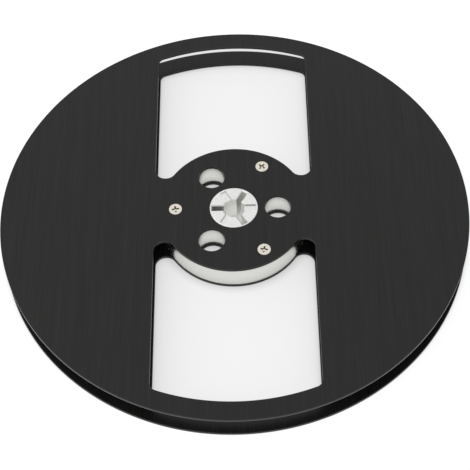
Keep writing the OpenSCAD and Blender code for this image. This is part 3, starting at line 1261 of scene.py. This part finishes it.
@dataclass
class CrossScrews(Assembly):
    """The six countersunk screws."""

    head_dome: float = 0.05
    head_round: float = 0.09
    dome_shares: tuple[Point, ...] = ((0.0, 0.0), (0.5, 0.25), (0.85, 0.7))
    bite: float = 3.7
    neck: float = 0.3
    core_r: float = 1.02
    tip: float = 0.3
    pitch: float = 0.45
    recess_w: float = 2.9
    wing_t: float = 0.6
    recess_depth: float = 0.75
    rest_turns: tuple[float, ...] = (50.0, 9.0, 80.0)
    sharp: float = 32.0

    @property
    def cone_end_z(self) -> float:
        """Height of the cone's lower end below the face."""
        return -self.sizes.head_land - (self.sizes.head_r - self.sizes.shank_r)

    @property
    def tip_z(self) -> float:
        """Height of the tip below the face."""
        return self.sizes.head_sink - self.sizes.flange_t - self.bite

    def half_section(self) -> list[Point]:
        """Outline of the blank.

        Returns:
            Radius and height of each point, from the middle of its face to its tip.
        """
        head_r, shank_r, neck_z = self.sizes.head_r, self.sizes.shank_r, self.cone_end_z - self.neck
        return [
            *((head_r * out, -self.head_dome * fall) for out, fall in self.dome_shares),
            (head_r - self.head_round, -self.head_dome),
            (head_r, -self.head_dome - self.head_round),
            (head_r, -self.sizes.head_land),
            (shank_r, self.cone_end_z),
            (shank_r, neck_z),
            (self.core_r, neck_z - (shank_r - self.core_r)),
            (self.core_r, self.tip_z + self.tip),
            (self.core_r - self.tip, self.tip_z),
            (0.0, self.tip_z),
        ]

    def shapes(self, forms: Forms, coat: Coat) -> dict[str, bpy.types.Object]:
        """All the screws."""
        z, section = self.sizes, self.half_section()
        thread_z = self.cone_end_z - self.neck
        values = {
            "Recess Width": self.recess_w * MM,
            "Wing Thickness": self.wing_t * MM,
            "Recess Depth": self.recess_depth * MM,
            "Thread Top": thread_z * MM,
            "Thread Length": (thread_z - self.tip_z - self.tip) * MM,
            "Thread Radius": z.shank_r * MM,
            "Pitch": self.pitch * MM,
            "Points": len(section),
            "Material": coat.material,
        }
        pieces = {}
        for side in Side:
            upper = side is Side.UPPER
            height = z.reel_t - z.head_sink if upper else z.head_sink
            values["Tilt"] = (0.0 if upper else math.pi, 0.0, 0.0)
            for i, angle in enumerate(z.angles(z.key_phase)):
                x, y = polar(z.screw_ring_r, angle)
                values["Place"] = (x * MM, y * MM, height * MM)
                values["Recess Turn"] = math.radians(self.rest_turns[i])
                node = f"{side.value}_screw_{i + 1}"
                blank = profile_mesh(node, section)
                pieces[node] = forms.screw.make(f"{node}_cross", blank, values, self.sharp)
        return pieces


@dataclass(frozen=True)
class Lamp:
    """A square soft lamp that faces the reel. Its place and its side are in metres."""

    name: str
    place: Place
    size: float
    watts: float

    def build(self) -> None:
        """Adds the lamp."""
        light = bpy.data.lights.new(self.name, "AREA")
        light.size = self.size
        light.energy = self.watts
        lamp = add_object(self.name, light)
        lamp.location = self.place
        lamp.rotation_euler = (-Vector(self.place)).to_track_quat("-Z", "Y").to_euler()


@dataclass
class Studio:
    """Floor, lamps, surroundings and camera. The floor's sizes are in metres."""

    floor_r: float = 3.0
    floor_step: int = 5
    floor_drop: float = 0.00004
    floor_color: Color = (0.22, 0.22, 0.22, 1.0)
    # The floor's glow is lower under the reel than outside it: a painted shadow.
    floor_glow: Range = (0.675, 0.865)
    shadow_span: Range = (0.0885, 0.0915)
    shadow_centre: Place = (0.0, 0.0025, 0.0)
    # Painted contact shadow: ambient occlusion within this reach darkens the glow under the reel.
    contact_reach: float = 0.004
    contact_shadow: float = 0.55
    world_level: float = 0.80
    white: Color = (1.0, 1.0, 1.0, 1.0)
    lamps: tuple[Lamp, ...] = (
        Lamp("key_lamp", (-0.8, -0.1, 0.9), 1.2, 6.0),
        Lamp("fill_lamp", (0.55, -0.75, 1.1), 0.8, 1.0),
    )
    focal_px: float = 1273.145
    image_px: float = 470.0
    sensor_mm: float = 36.0
    azimuth: float = 1.772
    elevation: float = 56.054
    roll: float = -2.900
    distance_mm: float = 491.917
    target_mm: Place = (0.087, -4.76, 0.0)

    def background_rays(self, s: Sketch) -> Socket:
        """Mask of the rays that see the background: camera, glossy and transmission ones."""
        path = s.node("ShaderNodeLightPath").outputs
        seen = s.math("MAXIMUM", path["Is Camera Ray"], path["Is Glossy Ray"])
        return s.math("MAXIMUM", seen, path["Is Transmission Ray"])

    def floor_tone(self, s: Sketch) -> Socket:
        """How white the floor looks, with a painted shadow: less inside the reel, and least where
        something stands close by.

        Args:
            s: sketch of the floor's material.

        Returns:
            The tone.
        """
        place = s.out("ShaderNodeTexCoord", output="Object")
        away = s.out("ShaderNodeVectorMath", {0: place, 1: self.shadow_centre}, "Value", operation="DISTANCE")
        # Ambient occlusion paints a contact shadow into the glow under the reel.
        open_sky = s.out("ShaderNodeAmbientOcclusion", {"Distance": self.contact_reach}, "AO")
        inner, outer = self.floor_glow
        inner = s.times(s.remap(open_sky, 0.0, 1.0, 1.0 - self.contact_shadow), inner)
        return s.between(s.remap(away, *self.shadow_span), inner, outer)

    def floor(self) -> None:
        """Lays the pale floor, which keeps the reel's shadow."""
        mesh = bpy.data.meshes.new("floor")
        rim = [(*polar(self.floor_r, a), -self.floor_drop) for a in range(0, 360, self.floor_step)]
        mesh.from_pydata(rim, [], [list(range(len(rim)))])
        material = bpy.data.materials.new("pale_floor")
        material.use_nodes = True
        s = Sketch(material.node_tree)
        diffuse = s.out("ShaderNodeBsdfDiffuse", {"Color": self.floor_color})
        # The glow carries the painted shadow; the diffuse part keeps the real one.
        strength = s.times(self.background_rays(s), self.floor_tone(s))
        glow = s.out("ShaderNodeEmission", {"Color": self.white, "Strength": strength})
        s.node("ShaderNodeOutputMaterial", {"Surface": s.out("ShaderNodeAddShader", {0: diffuse, 1: glow})})
        mesh.materials.append(material)
        add_object("floor", mesh)

    def surroundings(self) -> None:
        """Sets a plain pale world that looks white."""
        world = bpy.data.worlds.new("studio")
        world.use_nodes = True
        bpy.context.scene.world = world
        s = Sketch(world.node_tree)
        strength = s.remap(self.background_rays(s), 0.0, 1.0, self.world_level)
        shader = s.out("ShaderNodeBackground", {"Color": self.white, "Strength": strength})
        s.node("ShaderNodeOutputWorld", {"Surface": shader})

    def camera(self) -> None:
        """Sets the camera at the photograph's angle."""
        a, e, r = (math.radians(v) for v in (self.azimuth, self.elevation, self.roll))
        back = Vector((math.sin(a) * math.cos(e), -math.cos(a) * math.cos(e), math.sin(e)))
        level = (-back).cross(Vector((0.0, 0.0, 1.0))).normalized()
        steep = level.cross(-back)
        right = level * math.cos(r) + steep * math.sin(r)
        up = steep * math.cos(r) - level * math.sin(r)
        lens = bpy.data.cameras.new("camera")
        lens.sensor_width = self.sensor_mm
        lens.lens = self.focal_px * self.sensor_mm / self.image_px
        camera = add_object("camera", lens)
        place = Vector(self.target_mm) * MM + back * self.distance_mm * MM
        camera.matrix_world = Matrix.Translation(place) @ Matrix((right, up, back)).transposed().to_4x4()
        bpy.context.scene.camera = camera

    def build(self) -> None:
        """Sets up the whole studio."""
        self.camera()
        self.floor()
        self.surroundings()
        for lamp in self.lamps:
            lamp.build()
        bpy.context.scene.view_settings.view_transform = "Standard"
        log.info("studio: camera, floor, surroundings and lamps")


def main() -> None:
    """Builds the reel's pieces in order, then the studio."""
    logging.basicConfig(level=logging.INFO, format="%(name)s: %(message)s")
    sizes, forms, effects = ReelSizes(), Forms(), Effects()
    black = BlackAnodised().build(effects)
    Flange(sizes, Side.LOWER).build(forms, black)
    Hub(sizes).build(forms, TurnedAluminium().build(effects))
    Bush(sizes).build(forms, BlastedAluminium().build(effects))
    Flange(sizes, Side.UPPER).build(forms, black)
    CrossScrews(sizes).build(forms, PlatedSteel().build(effects))
    Studio().build()


if __name__ == "__main__":
    main()
